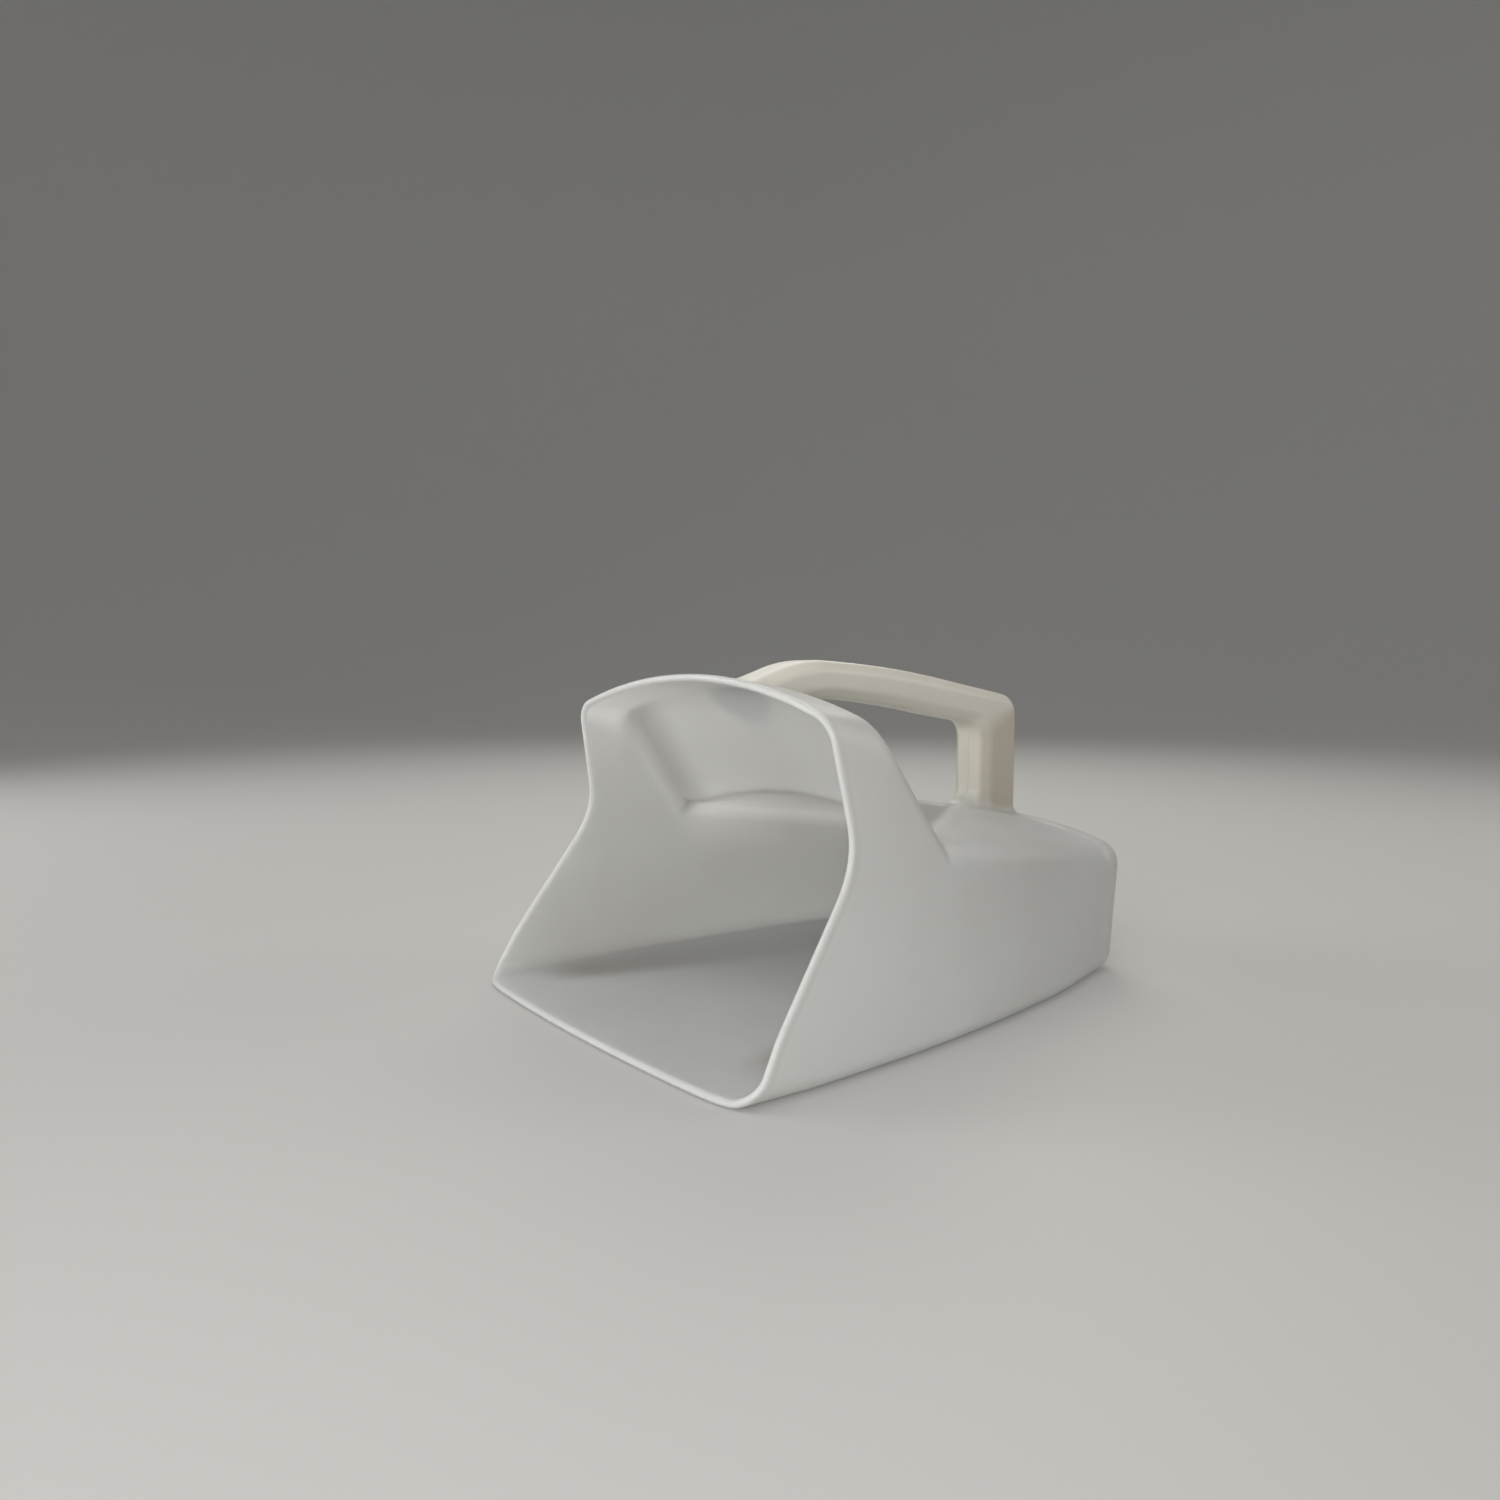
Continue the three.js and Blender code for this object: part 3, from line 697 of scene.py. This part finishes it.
def patches(tree, place, scale, detail, to_low=0.0, to_high=1.0):
    """Soft patches that run between two values."""
    return remap(tree, noise(tree, place, scale, detail), NOISE_LOW, NOISE_HIGH, to_low, to_high)


def opposite(tree, share):
    return remap(tree, share, 0.0, 1.0, 1.0, 0.0)


def blend_colour(tree, share, first, second):
    made = tree.nodes.new("ShaderNodeMix")
    made.data_type = "RGBA"
    plug(tree, made.inputs["Factor"], share)
    sockets = [s for s in made.inputs if s.type == "RGBA"]
    for socket, value in zip(sockets, (first, second)):
        plug(tree, socket, value)
    return [s for s in made.outputs if s.type == "RGBA"][0]


def attribute(tree, name):
    made = tree.nodes.new("ShaderNodeAttribute")
    made.attribute_name = name
    return made.outputs["Fac"]


def maths(tree, operation, first, second):
    made = tree.nodes.new("ShaderNodeMath")
    made.operation = operation
    for socket, value in zip(made.inputs, (first, second)):
        plug(tree, socket, value)
    return made.outputs["Value"]


def bump(tree, height, strength, distance, normal=None):
    """A bump laid over an earlier one, if there is one. Its distance is in metres."""
    made = node(tree, "ShaderNodeBump", Height=height, Strength=strength, Distance=distance)
    if normal:
        plug(tree, made.inputs["Normal"], normal)
    return made.outputs["Normal"]


def stretched(tree, place, scale):
    return node(tree, "ShaderNodeMapping", Vector=place, Scale=scale).outputs["Vector"]


def plastic_base(name, roughness, scatter, depth):
    """A Principled material with its uniform values set, ready for its patterns. scatter is the share of
    light that enters the plastic, and depth is how far it spreads there, in metres."""
    material = bpy.data.materials.new(name)
    material.use_nodes = True
    tree = material.node_tree
    shader = tree.nodes["Principled BSDF"]
    shader.inputs["Roughness"].default_value = roughness
    shader.inputs["IOR"].default_value = PLASTIC_IOR
    shader.inputs["Subsurface Weight"].default_value = scatter
    shader.inputs["Subsurface Radius"].default_value = SCATTER_RADII
    shader.inputs["Subsurface Scale"].default_value = depth
    place = tree.nodes.new("ShaderNodeTexCoord").outputs["Object"]
    return material, tree, shader, place


def add_surface(tree, shader, place, roughness, scuffs):
    """Moulded surface: shallow waviness, fine orange peel, and scuffs that also change the gloss."""
    wave = noise(tree, place, WAVE_SCALE, 2.0)
    peel = noise(tree, place, PEEL_SCALE, 2.0)
    scratch = noise(tree, stretched(tree, place, SCRATCH_SCALE), 1.0, 4.0, 0.6)
    marks = maths(tree, "MULTIPLY", remap(tree, scratch, SCRATCH_LOW, SCRATCH_HIGH), scuffs)
    normal = bump(tree, wave, WAVE_STRENGTH, WAVE_DEPTH)
    normal = bump(tree, peel, PEEL_STRENGTH, PEEL_DEPTH, normal)
    normal = bump(tree, marks, SCRATCH_STRENGTH, SCRATCH_DEPTH, normal)
    plug(tree, shader.inputs["Normal"], normal)
    uneven = patches(tree, place, GLOSS_SCALE, 3.0, roughness - GLOSSIER, roughness + DULLER)
    worn = maths(tree, "MULTIPLY", marks, SCRATCH_DULLING)
    plug(tree, shader.inputs["Roughness"], maths(tree, "ADD", uneven, worn))


BOWL_COLOUR = (0.60, 0.605, 0.60)
BOWL_SHADE = (0.555, 0.555, 0.545)
# The rim's edge is painted a little lighter: a painted highlight.
RIM_HIGHLIGHT_COLOUR = (0.64, 0.64, 0.63)
# A strip behind the rim on the outside is painted darker: painted shade.
RIM_SHADE_COLOUR = (0.50, 0.50, 0.49)
# Painted shade colour, blended in where the tone is below 0.
PAINTED_SHADE_COLOUR = (0.36, 0.352, 0.33)
# Painted light colour, blended in where the tone is above 0.
PAINTED_LIGHT_COLOUR = (0.86, 0.85, 0.83)
HANDLE_COLOUR = (0.78, 0.755, 0.675)
HANDLE_SHADE = (0.73, 0.70, 0.62)
# Painted shade colour for the leg's flat sides.
LEG_SIDE_SHADE_COLOUR = (0.56, 0.51, 0.435)
BOWL_ROUGHNESS, HANDLE_ROUGHNESS = 0.42, 0.40
BOWL_DEPTH, BOWL_LIGHT_TONE_DEPTH = 0.008, 0.028
HANDLE_SCATTER, HANDLE_DEPTH = 0.25, 0.003
BOWL_CLOUD_SCALE, HANDLE_CLOUD_SCALE = 16.0, 30.0
EDGE_START_SHARE, EDGE_END_SHARE = 0.1, 0.45  # of the wall, where the rim's painted highlight fades out
RIM_SHADE_START_SHARE, RIM_SHADE_END_SHARE = 0.6, 1.6  # and where the strip of painted shade behind it does
INSIDE_SCUFFS, OUTSIDE_SCUFFS, HANDLE_SCUFFS = 0.8, 0.35, 0.6


def bowl_plastic():
    """Thin natural polyethylene: near white, a little cloudy, with a painted highlight on the rim's edge,
    a strip of painted shade behind it outside, and painted light and shade set by the tone.
    """
    material, tree, shader, place = plastic_base("natural_polyethylene", BOWL_ROUGHNESS, 1.0, BOWL_DEPTH)
    cloud = patches(tree, place, BOWL_CLOUD_SCALE, 4.0)
    behind_rim = attribute(tree, "behind_rim")
    edge = remap(tree, behind_rim, EDGE_START_SHARE * WALL, EDGE_END_SHARE * WALL, 1.0, 0.0)
    strip = remap(tree, behind_rim, RIM_SHADE_START_SHARE * WALL, RIM_SHADE_END_SHARE * WALL, 1.0, 0.0)
    outside = opposite(tree, attribute(tree, "inside"))
    rim_shade = maths(tree, "MULTIPLY", strip, outside)
    tone = attribute(tree, "tone")
    body = blend_colour(tree, cloud, BOWL_SHADE, BOWL_COLOUR)
    # Painted shade where the tone is below 0, painted light where it is above.
    body = blend_colour(tree, remap(tree, tone, 0.0, -1.0), body, PAINTED_SHADE_COLOUR)
    body = blend_colour(tree, remap(tree, tone, 0.0, 1.0), body, PAINTED_LIGHT_COLOUR)
    # Painted shade on the strip behind the rim, outside.
    body = blend_colour(tree, rim_shade, body, RIM_SHADE_COLOUR)
    # Painted highlight on the rim's edge.
    plug(tree, shader.inputs["Base Color"], blend_colour(tree, edge, body, RIM_HIGHLIGHT_COLOUR))
    # The scatter spreads further where the tone gives painted light.
    plug(tree, shader.inputs["Subsurface Scale"], remap(tree, tone, 0.0, 1.0, BOWL_DEPTH, BOWL_LIGHT_TONE_DEPTH))
    scuffs = remap(tree, outside, 0.0, 1.0, INSIDE_SCUFFS, OUTSIDE_SCUFFS)
    add_surface(tree, shader, place, BOWL_ROUGHNESS, scuffs)
    return material


def handle_plastic():
    """The same plastic, thicker and creamier, with painted shade on the leg's sides, white where it
    meets the bowl.
    """
    base = plastic_base("cream_polyethylene", HANDLE_ROUGHNESS, HANDLE_SCATTER, HANDLE_DEPTH)
    material, tree, shader, place = base
    cloud = patches(tree, place, HANDLE_CLOUD_SCALE, 4.0)
    body = blend_colour(tree, cloud, HANDLE_SHADE, HANDLE_COLOUR)
    # Painted shade on the leg's flat sides.
    body = blend_colour(tree, attribute(tree, "leg_side_shade"), body, LEG_SIDE_SHADE_COLOUR)
    body = blend_colour(tree, attribute(tree, "near_foot"), body, BOWL_COLOUR)
    plug(tree, shader.inputs["Base Color"], body)
    add_surface(tree, shader, place, HANDLE_ROUGHNESS, HANDLE_SCUFFS)
    return material


# ---- studio -----------------------------------------------------------------------------------------
# Places, radii and sizes here are in metres, energies in watts and spreads in degrees.
PAPER_COLOUR, PAPER_ROUGHNESS = (0.52, 0.515, 0.50, 1.0), 0.7
PAPER_GLOW_COLOUR, PAPER_GLOW = (1.0, 0.99, 0.97, 1.0), 0.075
PAPER_GAP = 0.0001  # between the paper and the scoop's flat face
PAPER_FLOOR_RADII = (0.02, 0.3, 1.5)
PAPER_SWEEP_RADIUS, PAPER_WALL_TOP = 1.2, 3.0
PAPER_SWEEP_STEPS, PAPER_SIDES = 16, 96


def studio_paper():
    """Matt paper that glows a little, as if by light from all round the studio."""
    material = bpy.data.materials.new("studio_paper")
    material.use_nodes = True
    shader = material.node_tree.nodes["Principled BSDF"]
    shader.inputs["Base Color"].default_value = PAPER_COLOUR
    shader.inputs["Roughness"].default_value = PAPER_ROUGHNESS
    shader.inputs["Emission Color"].default_value = PAPER_GLOW_COLOUR
    shader.inputs["Emission Strength"].default_value = PAPER_GLOW
    return material


def make_backdrop(material):
    """A pale floor that sweeps up all round into a wall, like studio paper."""
    profile = [(radius, 0.0) for radius in PAPER_FLOOR_RADII]
    for angle in np.linspace(0, math.pi / 2, PAPER_SWEEP_STEPS + 1)[1:]:
        out = PAPER_FLOOR_RADII[-1] + PAPER_SWEEP_RADIUS * math.sin(angle)
        profile.append((out, PAPER_SWEEP_RADIUS * (1 - math.cos(angle))))
    profile.append((PAPER_FLOOR_RADII[-1] + PAPER_SWEEP_RADIUS, PAPER_WALL_TOP))
    points = [(0.0, 0.0, 0.0)]
    for radius, height in profile:
        for k in range(PAPER_SIDES):
            turn = 2 * math.pi * k / PAPER_SIDES
            points.append((radius * math.cos(turn), radius * math.sin(turn), height))
    faces = [(0, 1 + k, 1 + (k + 1) % PAPER_SIDES) for k in range(PAPER_SIDES)]
    faces += [face[::-1] for face in strip_faces(1, PAPER_SIDES, len(profile))]
    mesh = bpy.data.meshes.new("studio_backdrop")
    mesh.from_pydata(points, [], faces)
    mesh.shade_smooth()
    mesh.materials.append(material)
    backdrop = bpy.data.objects.new("studio_backdrop", mesh)
    backdrop.location.z = cad_low.z - PAPER_GAP
    bpy.context.scene.collection.objects.link(backdrop)


def add_area_light(name, place, size, energy, colour, spread):
    """A square soft light that faces the middle of the scoop."""
    light = bpy.data.lights.new(name, "AREA")
    light.size = size
    light.energy = energy
    light.color = colour
    light.spread = math.radians(spread)
    lamp = bpy.data.objects.new(name, light)
    lamp.location = place
    aim = (cad_low + cad_high) / 2 - Vector(place)
    lamp.rotation_mode = "QUATERNION"
    lamp.rotation_quaternion = aim.to_track_quat("-Z", "Y")
    bpy.context.scene.collection.objects.link(lamp)


WHITE_LIGHT, WARM_LIGHT = (1.0, 1.0, 1.0), (1.0, 0.975, 0.93)
AIR_COLOUR, AIR_STRENGTH = (0.95, 0.97, 1.0, 1.0), 0.05
WIDE_SPREAD = 180
LOW_SPREAD = 110  # keeps the two low lights off the floor beside them
LIGHTS = [  # name, place, size, energy, colour, spread
    ("front_low", (0.15, -0.95, 0.22), 0.6, 0.41, WHITE_LIGHT, LOW_SPREAD),
    ("front_near", (0.35, -0.5, 0.2), 0.3, 0.68, WHITE_LIGHT, LOW_SPREAD),
    ("left_soft", (-0.8, -0.6, 0.5), 0.6, 3.01, WHITE_LIGHT, WIDE_SPREAD),
    ("left_rear", (-0.6, 0.6, 0.8), 0.6, 2.91, WARM_LIGHT, WIDE_SPREAD),
    ("right_rear", (0.5, 0.8, 0.6), 0.6, 1.60, WARM_LIGHT, WIDE_SPREAD),
    ("top_soft", (0.0, 0.0, 1.2), 1.0, 4.14, WARM_LIGHT, WIDE_SPREAD),
]


def make_lights():
    world = bpy.data.worlds.new("studio_air")
    world.use_nodes = True
    air = world.node_tree.nodes["Background"]
    air.inputs["Color"].default_value = AIR_COLOUR
    air.inputs["Strength"].default_value = AIR_STRENGTH
    bpy.context.scene.world = world
    for light in LIGHTS:
        add_area_light(*light)


# ---- camera: angles in degrees, lengths in millimetres ----------------------------------------------
CAMERA_AZIMUTH, CAMERA_PITCH = 51.3, 4.5
CAMERA_PLACE = (296.0, -167.8 - ORIGIN_STATION, 119.9)
FOCAL_LENGTH, SENSOR_WIDTH = 25.68, 36.0
NEAR_CLIP = 10.0


def make_camera():
    data = bpy.data.cameras.new("camera")
    data.sensor_width = SENSOR_WIDTH
    data.lens = FOCAL_LENGTH
    data.clip_start = NEAR_CLIP * MM
    camera = bpy.data.objects.new("camera", data)
    camera.location = Vector(CAMERA_PLACE) * MM
    azimuth = math.radians(CAMERA_AZIMUTH)
    pitch = math.radians(CAMERA_PITCH)
    level = math.cos(pitch)
    ahead = Vector((-math.sin(azimuth) * level, math.cos(azimuth) * level, -math.sin(pitch)))
    camera.rotation_mode = "QUATERNION"
    camera.rotation_quaternion = ahead.to_track_quat("-Z", "Y")
    bpy.context.scene.collection.objects.link(camera)
    bpy.context.scene.camera = camera
    bpy.context.scene.view_settings.view_transform = "Standard"


make_camera()
make_backdrop(studio_paper())
make_lights()
make_bowl(bowl_plastic())
make_shells(handle_plastic())
